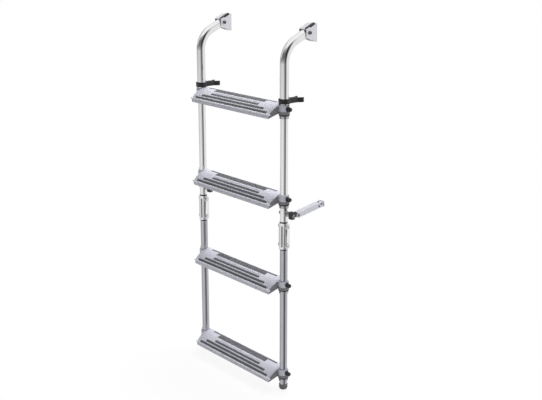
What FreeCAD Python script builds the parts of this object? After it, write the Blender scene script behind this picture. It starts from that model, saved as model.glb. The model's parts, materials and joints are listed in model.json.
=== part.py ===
import FreeCAD, Part
import os

# Folding bow ladder: two stainless rails under bent bow arms, four moulded steps,
# a double-pivot hinge halfway down, and two standoff arms that keep it off the hull.
# Row frame: origin on the left bracket's mounting face, +X along the steps,
# +Y into the hull, +Z up along the rails.

doc = FreeCAD.newDocument("bow_ladder")
dim = doc.addObject("Spreadsheet::Sheet", "dim")

# Driving dimensions in millimetres and degrees
DIMENSIONS = [
    ("rail_pitch", 382.0, "left rail axis to right rail axis"),
    ("rail_setback", 105.0, "hull face to the rail axes"),
    ("rail_od", 22.2, "rail tube outside diameter"),
    ("rail_wall", 1.5, "rail tube wall"),
    ("arm_od", 25.4, "bow arm tube outside diameter"),
    ("arm_wall", 1.5, "bow arm tube wall"),
    ("arm_bend", 64.0, "centreline radius of the bow arm's bend"),
    ("arm_rise", 25.0, "slope of the bow arm above the level, degrees"),
    ("arm_tail", 7.0, "bow arm past its bracket bolt"),
    ("arm_lift", 1.0, "gap between step one and the bow arm's mouth"),
    ("arm_overlap", 60.0, "rail tube inside the bow arm"),
    ("tube_gap", 0.05, "radial gap of a tube in its seat"),
    ("plate_half", 25.0, "half the height of a bracket's back plate"),
    ("plate_wall", 3.0, "thickness of a bracket's back plate"),
    ("cheek_wall", 2.0, "thickness of a bracket's cheeks and top"),
    ("cheek_gap", 0.5, "gap between the bow arm and its bracket"),
    ("cheek_reach", 40.0, "hull face to the bracket's front edge"),
    ("cheek_lip", 11.0, "lower front edge of a cheek below the origin"),
    ("arm_bolt_back", 27.0, "hull face to the bracket bolt"),
    ("arm_bolt_up", 1.0, "bracket bolt above the origin"),
    ("arm_bolt_dia", 8.0, "bracket bolt shank"),
    ("fixing_hole", 6.8, "hole for a fixing bolt in the back plate"),
    ("fixing_pitch", 24.0, "between the two fixing holes"),
    ("cover_wall", 2.0, "thickness of the black strip on a bracket"),
    ("cover_width", 8.0, "width of the black strip on a bracket"),
    ("cover_length", 33.0, "length of the black strip on a bracket"),
    ("cover_margin", 9.5, "hull face to the black strip"),
    ("step_drop", 187.0, "origin down to the top of step one"),
    ("step_spacing", 254.0, "top of one step to the next, down to step three"),
    ("last_spacing", 274.0, "top of step three to the top of step four"),
    ("step_back", 12.0, "step behind the rail axis"),
    ("step_front", 46.0, "step ahead of the rail axis"),
    ("step_depth", 39.0, "height of a step at its front"),
    ("skirt_depth", 18.0, "height of a step at its back"),
    ("step_wall", 4.0, "wall of a step's moulding"),
    ("crown_radius", 74.0, "curve of a step's top"),
    ("step_inset_back", 6.0, "end of a step inside the rail axis, at the back"),
    ("step_inset_front", 13.0, "end of a step inside the rail axis, at the front"),
    ("end_wall", 10.0, "solid end of a step's moulding"),
    ("stiffener", 3.0, "rib under a step"),
    ("boss_wall", 4.0, "ring of the step round a rail"),
    ("boss_top", 3.0, "top of the ring below the step's top"),
    ("boss_base", 28.5, "bottom of the ring below the step's top"),
    ("strip_recess", 1.6, "depth of the recess for the grip strip"),
    ("strip_height", 1.1, "thickness of the grip strip"),
    ("strip_gap", 0.3, "gap round the grip strip in its recess"),
    ("strip_margin", 3.0, "step's back edge to the grip strip"),
    ("strip_front", 10.5, "grip strip ahead of the rail axis"),
    ("strip_inset", 74.0, "rail axis to the end of the wide grip strip"),
    ("strip_tail", 6.0, "width of the grip strip behind the smooth ends"),
    ("tail_inset", 36.0, "rail axis to the end of the narrow grip strip"),
    ("bead_angle", 22.0, "raised bead from the top of the curve, degrees"),
    ("bead_radius", 2.6, "rounding of the raised bead"),
    ("bead_height", 1.2, "raised bead above the curve"),
    ("bead_inset", 84.0, "rail axis to the end of the raised bead"),
    ("groove_width", 5.4, "width of a groove in a step's front"),
    ("groove_cut", 2.6, "depth of a groove in a step's front"),
    ("groove_angle_1", 29.0, "first groove from the top of the curve, degrees"),
    ("groove_angle_2", 37.5, "second groove from the top of the curve, degrees"),
    ("groove_angle_3", 46.0, "third groove from the top of the curve, degrees"),
    ("groove_inset_1", 82.0, "rail axis to the end of the first groove"),
    ("groove_inset_2", 48.0, "rail axis to the end of the second groove"),
    ("groove_inset_3", 27.0, "rail axis to the end of the third groove"),
    ("seal_height", 4.0, "black ring under a step's end"),
    ("collar_height", 8.0, "metal collar under the black ring"),
    ("collar_wall", 2.4, "wall of the metal collar"),
    ("step_bolt_dia", 6.0, "step bolt shank"),
    ("step_bolt_drop", 13.0, "step bolt below the step's top"),
    ("bolt_gap", 0.05, "radial gap round every bolt and pin"),
    ("head_height", 4.0, "height of a bolt head"),
    ("head_margin", 3.0, "bolt head radius past its shank"),
    ("nut_height", 5.0, "height of a nut"),
    ("thread_end", 2.5, "step bolt past its nut"),
    ("hinge_drop", 94.0, "top of step two down to the upper pivot"),
    ("hinge_pitch", 56.0, "upper pivot to lower pivot"),
    ("hinge_bolt_dia", 8.0, "hinge pin shank"),
    ("link_gap", 0.4, "gap between a rail and the hinge link"),
    ("link_wall", 2.5, "wall of the hinge link"),
    ("link_round", 11.0, "rounding of the link round each pivot"),
    ("knuckle_trim", 0.2, "knuckle radius under the rail's"),
    ("knuckle_top", 14.0, "pivot to the end of the rail tube"),
    ("spigot_length", 34.0, "knuckle inside the rail tube"),
    ("spigot_gap", 0.1, "radial gap of a spigot in its tube"),
    ("cap_wall", 1.6, "wall of a rail end cap"),
    ("cap_cover", 9.0, "rail tube inside its end cap"),
    ("cap_sole", 7.0, "solid end of the cap"),
    ("rail_tail", 60.0, "top of step four down to the end of the rail"),
    ("clip_lift", 0.5, "top of step one up to the clip"),
    ("clip_height", 11.0, "height of a clip"),
    ("clip_wall", 3.5, "wall of a clip"),
    ("clip_gap", 0.1, "gap between a clip and the bow arm"),
    ("jaw_gap", 0.4, "gap between the jaw and the folded rail"),
    ("jaw_lip", 3.0, "jaw past the folded rail's axis"),
    ("clip_web", 16.0, "width of the bar between a clip's ring and jaw"),
    ("standoff_drop", 56.0, "top of step two down to a standoff arm"),
    ("standoff_offset", 34.0, "rail axis to a standoff arm, sideways"),
    ("standoff_reach", 98.0, "standoff pivot to the end of its pad"),
    ("standoff_tilt_left", 2.0, "rise of the left standoff arm, degrees"),
    ("standoff_tilt_right", 10.0, "rise of the right standoff arm, degrees"),
    ("standoff_width", 18.0, "width of a standoff arm"),
    ("standoff_height", 15.0, "height of a standoff arm"),
    ("standoff_wall", 2.0, "wall of a standoff arm"),
    ("standoff_pivot", 18.0, "rail axis to the standoff's pivot, backwards"),
    ("standoff_pin_dia", 5.0, "standoff pivot pin"),
    ("tongue_gap", 0.3, "gap between the block's tongue and the arm"),
    ("block_height", 21.0, "height of the standoff's black block"),
    ("block_front", 6.0, "block ahead of the rail axis"),
    ("block_back", 6.0, "block behind the rail axis"),
    ("pad_depth", 5.0, "thickness of a standoff pad"),
    ("pad_margin", 1.0, "pad past the arm all round"),
    ("pad_plug", 8.0, "pad's plug inside the arm"),
]

for row, (alias, value, note) in enumerate(DIMENSIONS, start=1):
    dim.set("A%d" % row, alias)
    dim.set("B%d" % row, str(value))
    dim.set("C%d" % row, note)
    dim.setAlias("B%d" % row, alias)
doc.recompute()

AXIS_X = FreeCAD.Vector(1, 0, 0)
ALONG_X = FreeCAD.Rotation(FreeCAD.Vector(0, 1, 0), 90)
ALONG_Y = FreeCAD.Rotation(FreeCAD.Vector(1, 0, 0), -90)
RIBS = 3
GROOVES = (1, 2, 3)
nodes = []


# Small builders: every size and place is an expression on the sheet
def bind(thing, **sizes):
    for name, expression in sizes.items():
        thing.setExpression(name, expression)
    return thing


def put(thing, x, y, z):
    thing.setExpression("Placement.Base.x", x)
    thing.setExpression("Placement.Base.y", y)
    thing.setExpression("Placement.Base.z", z)
    return thing


def box(name, x, y, z, length, width, height):
    thing = doc.addObject("Part::Box", name)
    bind(thing, Length=length, Width=width, Height=height)
    return put(thing, x, y, z)


def cylinder(name, x, y, z, radius, height, turn=None):
    thing = doc.addObject("Part::Cylinder", name)
    if turn is not None:
        thing.Placement = FreeCAD.Placement(FreeCAD.Vector(), turn)
    bind(thing, Radius=radius, Height=height)
    return put(thing, x, y, z)


def hexagon(name, x, y, z, radius, height, turn):
    thing = doc.addObject("Part::Prism", name)
    thing.Polygon = 6
    thing.Placement = FreeCAD.Placement(FreeCAD.Vector(), turn)
    bind(thing, Circumradius=radius, Height=height)
    return put(thing, x, y, z)


def cut(name, base, tool):
    thing = doc.addObject("Part::Cut", name)
    thing.Base = base
    thing.Tool = tool
    return thing


def fuse(name, shapes):
    thing = doc.addObject("Part::MultiFuse", name)
    thing.Shapes = shapes
    return thing


def common(name, shapes):
    thing = doc.addObject("Part::MultiCommon", name)
    thing.Shapes = shapes
    return thing


def group(name, shapes):
    thing = doc.addObject("Part::Compound", name)
    thing.Links = shapes
    return thing


def node(thing, label):
    thing.Label = label
    nodes.append(thing)
    return thing


def across(name, x, out, start, end, y, z, radius):
    """A cylinder along X from start to end on the side of x that out (+1 or -1) names."""
    low = "%s + %s" % (x, start) if out > 0 else "%s - (%s)" % (x, end)
    return cylinder(name, low, y, z, radius, "%s - (%s)" % (end, start), ALONG_X)


def across_hexagon(name, x, out, start, end, y, z, radius):
    low = "%s + %s" % (x, start) if out > 0 else "%s - (%s)" % (x, end)
    return hexagon(name, low, y, z, radius, "%s - (%s)" % (end, start), ALONG_X)


# Places that several pieces share
RAIL_X = {"left": "0", "right": "dim.rail_pitch"}
OUT = {"left": -1, "right": 1}
RAIL_Y = "-dim.rail_setback"
RAIL_R = "dim.rail_od / 2"
ARM_R = "dim.arm_od / 2"
UPPER_PIVOT = "-(dim.step_drop + dim.step_spacing + dim.hinge_drop)"
LOWER_PIVOT = "-(dim.step_drop + dim.step_spacing + dim.hinge_drop + dim.hinge_pitch)"
STANDOFF_Z = "-(dim.step_drop + dim.step_spacing + dim.standoff_drop)"
STEP_FOUR = "-(dim.step_drop + 2 * dim.step_spacing + dim.last_spacing)"
RAIL_END = "%s - dim.rail_tail" % STEP_FOUR
RAIL_TOP = "-(dim.step_drop - dim.arm_lift - dim.arm_overlap)"
SEAT_R = "dim.rail_od / 2 + dim.tube_gap"
BOSS_R = "dim.rail_od / 2 + dim.boss_wall"


def step_top(number):
    if number == 4:
        return STEP_FOUR
    return "-(dim.step_drop + %d * dim.step_spacing)" % (number - 1)


# Brackets: folded stainless channel with two cheeks, a sloping top and a drilled back plate
TOP_OFFSET = "(dim.arm_od / 2 + dim.cheek_gap + dim.cheek_wall) / cos(dim.arm_rise)"
INNER_OFFSET = "(dim.arm_od / 2 + dim.cheek_gap) / cos(dim.arm_rise)"
CHEEK_IN = "dim.arm_od / 2 + dim.cheek_gap"
CHEEK_OUT = "dim.arm_od / 2 + dim.cheek_gap + dim.cheek_wall"


def slope_box(name, x, half_width, rise_offset, height, length, front="-dim.cheek_reach"):
    """A box lying along the bow arm's slope, its underside rise_offset above the arm's axis."""
    thing = doc.addObject("Part::Box", name)
    thing.Placement = FreeCAD.Placement(FreeCAD.Vector(), FreeCAD.Rotation(AXIS_X, 29))
    thing.setExpression("Placement.Rotation.Angle", "dim.arm_rise")
    bind(thing, Length="2 * (%s)" % half_width, Width=length, Height=height)
    low = "dim.arm_bolt_up + (dim.arm_bolt_back + %s) * tan(dim.arm_rise)" % front
    return put(thing, "%s - (%s)" % (x, half_width), front, "%s + %s" % (low, rise_offset))


def bracket(side):
    x = RAIL_X[side]
    tag = "bracket_" + side
    reach = "dim.cheek_reach"
    half = "dim.plate_half"
    # The cheek's outline: a block cut back under the slope and below the lower edge
    block = box(tag + "_block", "%s - (%s)" % (x, CHEEK_OUT), "-" + reach, "-" + half,
                "2 * (%s)" % CHEEK_OUT, reach, "2 * " + half)
    above = slope_box(tag + "_above", x, "dim.arm_od", TOP_OFFSET, reach, "3 * " + reach)
    roofed = cut(tag + "_roofed", block, above)
    below = doc.addObject("Part::Wedge", tag + "_below")
    bind(below, Xmin="0", Xmax="2 * dim.arm_od", X2min="0", X2max="2 * dim.arm_od",
         Ymin="0", Ymax=reach, Zmin="0", Zmax="dim.plate_half - dim.cheek_lip + 1",
         Z2min="0", Z2max="1")
    put(below, "%s - dim.arm_od" % x, "-%s - dim.plate_wall" % reach, "-%s - 1" % half)
    cheeks = cut(tag + "_cheeks", roofed, below)
    # The arm's pocket, open at the front and below
    pocket = box(tag + "_pocket", "%s - (%s)" % (x, CHEEK_IN), "-%s - 1" % reach, "-%s - 1" % half,
                 "2 * (%s)" % CHEEK_IN, "%s - dim.plate_wall + 1" % reach,
                 "2 * %s - dim.cheek_wall + 1" % half)
    ceiling = slope_box(tag + "_ceiling", x, "dim.arm_od", INNER_OFFSET, reach, "3 * " + reach)
    hollow = cut(tag + "_hollow", pocket, ceiling)
    folded = cut(tag + "_folded", cheeks, hollow)
    drills = [across(tag + "_bolt_hole", x, 1, "-dim.arm_od", "dim.arm_od", "-dim.arm_bolt_back",
                     "dim.arm_bolt_up", "dim.arm_bolt_dia / 2 + dim.bolt_gap")]
    for sign, word in ((-1, "low"), (1, "high")):
        drills.append(cylinder(tag + "_fixing_" + word, x, "-dim.plate_wall - 1",
                               "%d * dim.fixing_pitch / 2" % sign, "dim.fixing_hole / 2",
                               "dim.plate_wall + 2", ALONG_Y))
    return node(cut(tag, folded, fuse(tag + "_drills", drills)), tag)


def bracket_cover(side):
    """Black moulded strip along the right-hand edge of the bracket's sloping top."""
    x = "%s + %s - dim.cover_width / 2" % (RAIL_X[side], CHEEK_OUT)
    tag = "bracket_cover_" + side
    front = "(0 - dim.cover_margin - dim.cover_length * cos(dim.arm_rise))"
    strip = slope_box(tag, x, "dim.cover_width / 2", TOP_OFFSET, "dim.cover_wall",
                      "dim.cover_length", front)
    return node(strip, tag)


def bracket_bolt(side):
    x = RAIL_X[side]
    tag = "bracket_bolt_" + side
    radius = "dim.arm_bolt_dia / 2"
    y, z = "-dim.arm_bolt_back", "dim.arm_bolt_up"
    shank = across(tag + "_shank", x, OUT[side], "-(%s + dim.nut_height)" % CHEEK_OUT,
                   "%s + 1" % CHEEK_OUT, y, z, radius)
    head = across(tag + "_head", x, OUT[side], CHEEK_OUT, "%s + dim.head_height" % CHEEK_OUT, y, z,
                  radius + " + dim.head_margin")
    nut = across_hexagon(tag + "_nut", x, -OUT[side], CHEEK_OUT, "%s + dim.nut_height" % CHEEK_OUT,
                         y, z, radius + " + dim.head_margin")
    return fuse(tag, [shank, head, nut])


# Bow arms: polished tube, upright over the rail and bent back to the bracket
BEND_TURN = "(90 - dim.arm_rise)"
APEX_Z = "dim.arm_bolt_up - (dim.rail_setback - dim.arm_bolt_back) * tan(dim.arm_rise)"
BEND_TANGENT = "dim.arm_bend * tan((90 - dim.arm_rise) / 2)"
ARM_FOOT = "-(dim.step_drop - dim.arm_lift)"
BEND_Z = "%s - %s" % (APEX_Z, BEND_TANGENT)
ARM_RUN = ("(dim.rail_setback - dim.arm_bolt_back) / cos(dim.arm_rise) - %s + dim.arm_tail"
           % BEND_TANGENT)


def arm_rod(tag, x, radius, extra):
    """The arm's centreline as a solid rod; extra lengthens both ends."""
    upright = cylinder(tag + "_upright", x, RAIL_Y, "%s - %s" % (ARM_FOOT, extra), radius,
                       "%s - (%s) + %s" % (BEND_Z, ARM_FOOT, extra))
    elbow = doc.addObject("Part::Torus", tag + "_elbow")
    facing = FreeCAD.Rotation(FreeCAD.Vector(0, -1, 0), FreeCAD.Vector(0, 0, 1),
                              FreeCAD.Vector(-1, 0, 0), "ZXY")
    elbow.Placement = FreeCAD.Placement(FreeCAD.Vector(), facing)
    bind(elbow, Radius1="dim.arm_bend", Radius2=radius, Angle3=BEND_TURN)
    put(elbow, x, "%s + dim.arm_bend" % RAIL_Y, BEND_Z)
    reach = doc.addObject("Part::Cylinder", tag + "_reach")
    reach.Placement = FreeCAD.Placement(FreeCAD.Vector(),
                                        FreeCAD.Rotation(FreeCAD.Vector(-1, 0, 0), 61))
    reach.setExpression("Placement.Rotation.Angle", BEND_TURN)
    bind(reach, Radius=radius, Height="%s + %s" % (ARM_RUN, extra))
    put(reach, x, "%s + dim.arm_bend * (1 - cos%s)" % (RAIL_Y, BEND_TURN),
        "%s + dim.arm_bend * sin%s" % (BEND_Z, BEND_TURN))
    return fuse(tag, [upright, elbow, reach])


def bow_arm(side):
    x = RAIL_X[side]
    tag = "bow_arm_" + side
    tube = cut(tag + "_tube", arm_rod(tag + "_outside", x, ARM_R, "0"),
               arm_rod(tag + "_inside", x, "dim.arm_od / 2 - dim.arm_wall", "1"))
    hole = across(tag + "_hole", x, 1, "-dim.arm_od", "dim.arm_od", "-dim.arm_bolt_back",
                  "dim.arm_bolt_up", "dim.arm_bolt_dia / 2 + dim.bolt_gap")
    return node(cut(tag, tube, hole), tag)


# Rails: stainless tube, cut at the hinge and drilled where a bolt passes
def pipe(tag, x, z, height):
    outside = cylinder(tag + "_outside", x, RAIL_Y, z, RAIL_R, height)
    inside = cylinder(tag + "_inside", x, RAIL_Y, "%s - 1" % z, "dim.rail_od / 2 - dim.rail_wall",
                      "%s + 2" % height)
    return cut(tag + "_pipe", outside, inside)


def rail(side, section, foot, top, drills):
    tag = "rail_%s_%s" % (section, side)
    tube = pipe(tag, RAIL_X[side], foot, "%s - (%s)" % (top, foot))
    holes = []
    for count, (z, diameter) in enumerate(drills, start=1):
        holes.append(across("%s_hole_%d" % (tag, count), RAIL_X[side], 1, "-dim.rail_od",
                            "dim.rail_od", RAIL_Y, z, "%s / 2 + dim.bolt_gap" % diameter))
    tool = holes[0] if len(holes) == 1 else fuse(tag + "_holes", holes)
    return node(cut(tag, tube, tool), tag)


def step_bolt_z(number):
    return "%s - dim.step_bolt_drop" % step_top(number)


# Steps: hollow plastic mouldings whose top curves down to the front, with a ring round
# each rail, a let-in grip strip, a raised bead and three grooves across the front
CROWN_Y = "%s + dim.step_back" % RAIL_Y
UNDER_ANGLE = "atan((dim.step_depth - dim.skirt_depth) / (dim.step_front + dim.step_back))"


def crown(name, top, radius, inset="0"):
    """A cylinder on the axis that the step's curved top is struck from."""
    return cylinder(name, inset, CROWN_Y, "%s - dim.crown_radius" % top, radius,
                    "dim.rail_pitch - 2 * (%s)" % inset, ALONG_X)


def crown_place(thing, inset, top, angle, radius, half_width):
    """Puts a box or cylinder along X at this angle and radius on the step's curved top."""
    y = "%s - (%s) * sin(%s) - (%s) * cos(%s)" % (CROWN_Y, radius, angle, half_width, angle)
    z = ("%s - dim.crown_radius + (%s) * cos(%s) - (%s) * sin(%s)"
         % (top, radius, angle, half_width, angle))
    return put(thing, inset, y, z)


def tread_plan(tag, top):
    """The step's outline from above: ends that taper towards the front."""
    plan = doc.addObject("Part::Wedge", tag + "_plan")
    front, back = "dim.step_inset_front", "dim.step_inset_back"
    bind(plan, Xmin=front, Xmax="dim.rail_pitch - " + front, X2min=back,
         X2max="dim.rail_pitch - " + back, Ymin="0", Ymax="dim.step_front + dim.step_back",
         Zmin="0", Zmax="dim.step_depth", Z2min="0", Z2max="dim.step_depth")
    return put(plan, "0", "%s - dim.step_front" % RAIL_Y, "%s - dim.step_depth" % top)


def tread_underside(tag, top):
    """What is cut away below the step's sloping lower edge."""
    under = doc.addObject("Part::Box", tag + "_under")
    under.Placement = FreeCAD.Placement(FreeCAD.Vector(), FreeCAD.Rotation(AXIS_X, 15))
    under.setExpression("Placement.Rotation.Angle", UNDER_ANGLE)
    bind(under, Length="dim.rail_pitch", Width="2 * (dim.step_front + dim.step_back)",
         Height="dim.step_depth")
    y = "%s - dim.step_front + dim.step_depth * sin(%s)" % (RAIL_Y, UNDER_ANGLE)
    z = "%s - dim.step_depth * (1 + cos(%s))" % (top, UNDER_ANGLE)
    return put(under, "0", y, z)


def tread_cavity(tag, top):
    """The hollow under the step, open below and crossed by three ribs."""
    inset = "dim.step_inset_front + dim.end_wall"
    vault = crown(tag + "_vault", top, "dim.crown_radius - dim.step_wall", inset)
    room = box(tag + "_room", inset, "%s - dim.step_front + dim.step_wall" % RAIL_Y,
               "%s - 2 * dim.step_depth" % top, "dim.rail_pitch - 2 * (%s)" % inset,
               "dim.step_front + dim.step_back - 2 * dim.step_wall",
               "2 * dim.step_depth - dim.step_wall")
    ribs = []
    for place in range(1, RIBS + 1):
        ribs.append(box("%s_rib_%d" % (tag, place),
                        "dim.rail_pitch * %d / %d - dim.stiffener / 2" % (place, RIBS + 1),
                        "%s - dim.step_front" % RAIL_Y, "%s - dim.skirt_depth + 1" % top,
                        "dim.stiffener", "dim.step_front + dim.step_back", "dim.skirt_depth"))
    return cut(tag + "_cavity", common(tag + "_hollow", [vault, room]), fuse(tag + "_ribs", ribs))


def strip_outline(tag, top, gap):
    """The grip strip from above: wide between the smooth ends and narrow behind them."""
    z = "%s - dim.step_wall" % top
    tail_y = "%s + dim.step_back - dim.strip_margin - dim.strip_tail + %s" % (RAIL_Y, gap)
    wide = box(tag + "_wide", "dim.strip_inset + %s" % gap,
               "%s - dim.strip_front + %s" % (RAIL_Y, gap), z,
               "dim.rail_pitch - 2 * (dim.strip_inset + %s)" % gap,
               "dim.strip_front + dim.step_back - dim.strip_margin - 2 * %s" % gap,
               "2 * dim.step_wall")
    slim = box(tag + "_slim", "dim.tail_inset + %s" % gap, tail_y, z,
               "dim.rail_pitch - 2 * (dim.tail_inset + %s)" % gap,
               "dim.strip_tail - 2 * %s" % gap, "2 * dim.step_wall")
    return fuse(tag + "_outline", [wide, slim])


def groove(tag, top, number):
    """One slot along the step's front, square to the curved face."""
    thing = doc.addObject("Part::Box", "%s_groove_%d" % (tag, number))
    thing.Placement = FreeCAD.Placement(FreeCAD.Vector(), FreeCAD.Rotation(AXIS_X, 30))
    thing.setExpression("Placement.Rotation.Angle", "dim.groove_angle_%d" % number)
    inset = "dim.groove_inset_%d" % number
    bind(thing, Length="dim.rail_pitch - 2 * " + inset, Width="dim.groove_width",
         Height="2 * dim.groove_cut")
    return crown_place(thing, inset, top, "dim.groove_angle_%d" % number,
                       "dim.crown_radius - dim.groove_cut", "dim.groove_width / 2")


def step(number, label):
    top = step_top(number)
    tag = label
    arch = common(tag + "_arch", [crown(tag + "_crown", top, "dim.crown_radius"),
                                  tread_plan(tag, top)])
    skin = cut(tag + "_skin", arch, tread_underside(tag, top))
    bead = cylinder(tag + "_bead", "dim.bead_inset", "0", "0", "dim.bead_radius",
                    "dim.rail_pitch - 2 * dim.bead_inset", ALONG_X)
    crown_place(bead, "dim.bead_inset", top, "dim.bead_angle",
                "dim.crown_radius + dim.bead_height - dim.bead_radius", "0")
    rings, seats, drills = [], [], []
    for side in ("left", "right"):
        x = RAIL_X[side]
        rings.append(cylinder("%s_ring_%s" % (tag, side), x, RAIL_Y, "%s - dim.boss_base" % top,
                              BOSS_R, "dim.boss_base - dim.boss_top"))
        seats.append(cylinder("%s_seat_%s" % (tag, side), x, RAIL_Y,
                              "%s - dim.step_depth - 1" % top, SEAT_R, "dim.step_depth + 2"))
        drills.append(across("%s_drill_%s" % (tag, side), x, 1, "-2 * dim.rail_od",
                             "2 * dim.rail_od", RAIL_Y, step_bolt_z(number),
                             "dim.step_bolt_dia / 2 + dim.bolt_gap"))
    body = fuse(tag + "_body", [skin, bead] + rings)
    recess = cut(tag + "_recess", strip_outline(tag + "_recess", top, "0"),
                 crown(tag + "_floor", top, "dim.crown_radius - dim.strip_recess"))
    grooves = [groove(tag, top, count) for count in GROOVES]
    tools = fuse(tag + "_tools", [tread_cavity(tag, top), recess] + seats + drills + grooves)
    return node(cut(label, body, tools), label)


def grip_strip(number):
    tag = "strip_%d" % number
    top = step_top(number)
    sunk = "dim.crown_radius - dim.strip_recess"
    slab = common(tag + "_slab", [strip_outline(tag, top, "dim.strip_gap"),
                                  crown(tag + "_upper", top, sunk + " + dim.strip_height")])
    return cut(tag, slab, crown(tag + "_lower", top, sunk))


def seal_ring(number, side):
    """Black ring between a step's end and its collar."""
    tag = "seal_%d_%s" % (number, side)
    z = "%s - dim.boss_base - dim.seal_height" % step_top(number)
    outside = cylinder(tag + "_outside", RAIL_X[side], RAIL_Y, z, BOSS_R, "dim.seal_height")
    inside = cylinder(tag + "_inside", RAIL_X[side], RAIL_Y, z, SEAT_R, "dim.seal_height")
    return cut(tag, outside, inside)


def collar(number, side):
    """Metal collar on the rail that the step's end stands on."""
    tag = "collar_%d_%s" % (number, side)
    z = "%s - dim.boss_base - dim.seal_height - dim.collar_height" % step_top(number)
    outside = cylinder(tag + "_outside", RAIL_X[side], RAIL_Y, z, RAIL_R + " + dim.collar_wall",
                       "dim.collar_height")
    inside = cylinder(tag + "_inside", RAIL_X[side], RAIL_Y, z, SEAT_R, "dim.collar_height")
    return cut(tag, outside, inside)


def step_bolt(number, side):
    """Bolt from under the step through its end, the rail and the ring to a nut outside."""
    tag = "step_bolt_%d_%s" % (number, side)
    x, out, z = RAIL_X[side], OUT[side], step_bolt_z(number)
    radius = "dim.step_bolt_dia / 2"
    end = "dim.step_inset_front + dim.end_wall"
    shank = across(tag + "_shank", x, out, "-(%s + 1)" % end,
                   "%s + dim.nut_height + dim.thread_end" % BOSS_R, RAIL_Y, z, radius)
    head = across(tag + "_head", x, -out, end, "%s + dim.head_height" % end, RAIL_Y, z,
                  radius + " + dim.head_margin")
    nut = across_hexagon(tag + "_nut", x, out, BOSS_R, "%s + dim.nut_height" % BOSS_R, RAIL_Y, z,
                         radius + " + dim.head_margin")
    return fuse(tag, [shank, head, nut])


# Hinge: two channel links, each with two pins, between rounded knuckles in the rail ends
LINK_IN = "dim.rail_od / 2 + dim.link_gap"
LINK_OUT = "dim.rail_od / 2 + dim.link_gap + dim.link_wall"
PIN_R = "dim.hinge_bolt_dia / 2"


def hinge_link(side):
    x = RAIL_X[side]
    tag = "hinge_link_" + side
    web_y = "%s - (%s)" % (RAIL_Y, LINK_OUT)
    low, high = LOWER_PIVOT + " - dim.link_round", "dim.hinge_pitch + 2 * dim.link_round"
    width = "2 * (%s)" % LINK_OUT
    edge = "%s - (%s)" % (x, LINK_OUT)
    front = box(tag + "_front", edge, web_y, low, width, LINK_OUT, high)
    back = box(tag + "_back", edge, RAIL_Y, LOWER_PIVOT, width, "dim.link_round", "dim.hinge_pitch")
    rounds = [across("%s_round_%s" % (tag, word), x, 1, "-(%s)" % LINK_OUT, LINK_OUT, RAIL_Y, z,
                     "dim.link_round") for word, z in (("top", UPPER_PIVOT), ("foot", LOWER_PIVOT))]
    solid = fuse(tag + "_solid", [front, back] + rounds)
    slot = box(tag + "_slot", "%s - (%s)" % (x, LINK_IN), "%s - (%s)" % (RAIL_Y, LINK_IN),
               "%s - 1" % low, "2 * (%s)" % LINK_IN, "%s + 2 * dim.link_round" % LINK_IN,
               high + " + 2")
    channel = cut(tag + "_channel", solid, slot)
    holes = [across("%s_hole_%s" % (tag, word), x, 1, "-dim.rail_od", "dim.rail_od", RAIL_Y, z,
                    PIN_R + " + dim.bolt_gap")
             for word, z in (("top", UPPER_PIVOT), ("foot", LOWER_PIVOT))]
    return node(cut(tag, channel, fuse(tag + "_holes", holes)), tag)


def hinge_pin(side, word, z):
    tag = "hinge_pin_%s_%s" % (word, side)
    x, out = RAIL_X[side], OUT[side]
    shank = across(tag + "_shank", x, out, "-(%s + dim.nut_height)" % LINK_OUT,
                   "%s + 1" % LINK_OUT, RAIL_Y, z, PIN_R)
    head = across(tag + "_head", x, out, LINK_OUT, "%s + dim.head_height" % LINK_OUT, RAIL_Y, z,
                  PIN_R + " + dim.head_margin")
    nut = across_hexagon(tag + "_nut", x, -out, LINK_OUT, "%s + dim.nut_height" % LINK_OUT,
                         RAIL_Y, z, PIN_R + " + dim.head_margin")
    return fuse(tag, [shank, head, nut])


def knuckle(side, section, pivot, up):
    """Solid end of a rail: a spigot in the tube and a round end that turns in the link."""
    x = RAIL_X[side]
    tag = "knuckle_%s_%s" % (section, side)
    radius = "dim.rail_od / 2 - dim.knuckle_trim"
    spigot_r = "dim.rail_od / 2 - dim.rail_wall - dim.spigot_gap"
    total = "dim.knuckle_top + dim.spigot_length"
    core_z = pivot if up else "%s - (%s)" % (pivot, total)
    core = cylinder(tag + "_core", x, RAIL_Y, core_z, spigot_r, total)
    stem_z = "%s - (%s)" % (pivot, radius) if up else "%s - dim.knuckle_top" % pivot
    stem = cylinder(tag + "_stem", x, RAIL_Y, stem_z, radius, "dim.knuckle_top + %s" % radius)
    end = across(tag + "_end", x, 1, "-dim.rail_od", "dim.rail_od", RAIL_Y, pivot, radius)
    neck_z = pivot if up else "%s - dim.knuckle_top" % pivot
    neck = box(tag + "_neck", "%s - dim.rail_od" % x, "%s - dim.rail_od" % RAIL_Y, neck_z,
               "2 * dim.rail_od", "2 * dim.rail_od", "dim.knuckle_top")
    nose = common(tag + "_nose", [stem, fuse(tag + "_limits", [end, neck])])
    holes = [across(tag + "_hole", x, 1, "-dim.rail_od", "dim.rail_od", RAIL_Y, pivot,
                    PIN_R + " + dim.bolt_gap")]
    if up:
        holes.append(across(tag + "_drill", x, 1, "-dim.rail_od", "dim.rail_od", RAIL_Y,
                            STANDOFF_Z, "dim.step_bolt_dia / 2 + dim.bolt_gap"))
    tool = fuse(tag + "_tools", holes) if up else holes[0]
    return cut(tag, fuse(tag + "_solid", [core, nose]), tool)


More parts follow.
